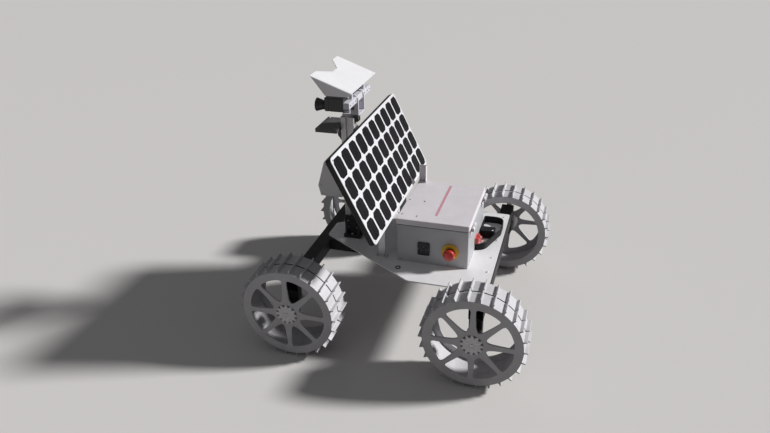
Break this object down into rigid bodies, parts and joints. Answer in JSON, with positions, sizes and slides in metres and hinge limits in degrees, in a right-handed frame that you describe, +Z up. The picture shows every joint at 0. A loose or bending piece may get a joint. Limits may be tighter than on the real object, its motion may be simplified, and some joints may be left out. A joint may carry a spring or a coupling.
{
  "type": "planetary rover prototype",
  "caption": "Wheeled rover prototype with spoked lugged wheels, a flat deck, an equipment box with hinged lid, a tilting solar panel and a mast with a pan and tilt camera head.",
  "frame": {"origin": "on the ground, midway between the four wheels", "axes": "+X forward, +Y to the left, +Z up"},
  "size_m": [0.908, 0.816, 0.8451],
  "materials": {
    "white_paint": "satin white",
    "black_plastic": "matt black",
    "black_paint": "black powder coat",
    "steel": "turned",
    "grey_paint": "light grey powder coat",
    "lid_paint": "light grey powder coat",
    "yellow_plastic": "gloss",
    "red_plastic": "gloss",
    "aluminium": "anodised",
    "dark_paint": "dark grey",
    "panel_white": "laminated",
    "cell_glass": "laminated dark blue",
    "camera_black": "matt black",
    "hood_white": "satin white",
    "printed_plastic": "printed, matt"
  },
  "bodies": {
    "root": {"deck_plate": "white_paint", "cable_grommet": "black_plastic", "cross_beams": "black_paint", "side_rails": "black_paint", "wheel_legs": "black_paint", "gearboxes": "steel", "drive_motors": "black_plastic", "enclosure_box": "grey_paint", "battery_pack": "black_plastic", "lid_hinges": "grey_paint", "stop_button_ring": "yellow_plastic", "stop_button_head": "red_plastic", "power_socket": "black_plastic", "rear_tray": "black_plastic", "tray_battery": "black_plastic", "tray_connectors": "red_plastic", "panel_posts": "aluminium", "mast_foot": "black_paint", "mast_post": "aluminium", "front_housing": "white_paint", "sensor_plate": "dark_paint", "sensor_gusset": "dark_paint", "pan_servo": "black_plastic"},
    "lid": {"enclosure_lid": "lid_paint", "lid_bracket": "lid_paint"},
    "panel": {"panel_sheet": "panel_white", "panel_board": "black_plastic", "solar_cells": "cell_glass", "panel_arms": "aluminium"},
    "pan": {"pan_unit": "aluminium"},
    "tilt": {"camera_bar": "aluminium", "camera_left": "camera_black", "camera_right": "camera_black", "sun_hood": "hood_white"},
    "wheel_front_left": {"wheel_rim_front_left": "printed_plastic", "hub_front_left": "printed_plastic"},
    "wheel_front_right": {"wheel_rim_front_right": "printed_plastic", "hub_front_right": "printed_plastic"},
    "wheel_rear_left": {"wheel_rim_rear_left": "printed_plastic", "hub_rear_left": "printed_plastic"},
    "wheel_rear_right": {"wheel_rim_rear_right": "printed_plastic", "hub_rear_right": "printed_plastic"}
  },
  "joints": [
    {"name": "wheel_spin_front_left", "type": "hinge", "parent": "root", "child": "wheel_front_left", "pos_m": [0.292, 0.349, 0.16106], "axis": [0, 1, 0], "continuous": true},
    {"name": "wheel_spin_front_right", "type": "hinge", "parent": "root", "child": "wheel_front_right", "pos_m": [0.292, -0.349, 0.16106], "axis": [0, 1, 0], "continuous": true},
    {"name": "wheel_spin_rear_left", "type": "hinge", "parent": "root", "child": "wheel_rear_left", "pos_m": [-0.292, 0.349, 0.16106], "axis": [0, 1, 0], "continuous": true},
    {"name": "wheel_spin_rear_right", "type": "hinge", "parent": "root", "child": "wheel_rear_right", "pos_m": [-0.292, -0.349, 0.16106], "axis": [0, 1, 0], "continuous": true},
    {"name": "lid_hinge", "type": "hinge", "parent": "root", "child": "lid", "pos_m": [-0.238, 0, 0.392], "axis": [0, -1, 0], "range_deg": [0, 110]},
    {"name": "panel_tilt", "type": "hinge", "parent": "root", "child": "panel", "pos_m": [0.05991, 0, 0.41594], "axis": [0, 1, 0], "range_deg": [-26, 2]},
    {"name": "head_pan", "type": "hinge", "parent": "root", "child": "pan", "pos_m": [0.20241, 0, 0.69], "axis": [0, 0, 1], "range_deg": [-90, 90]},
    {"name": "head_tilt", "type": "hinge", "parent": "pan", "child": "tilt", "pos_m": [0.17191, 0, 0.75], "axis": [0, 1, 0], "range_deg": [-20, 20]}
  ]
}
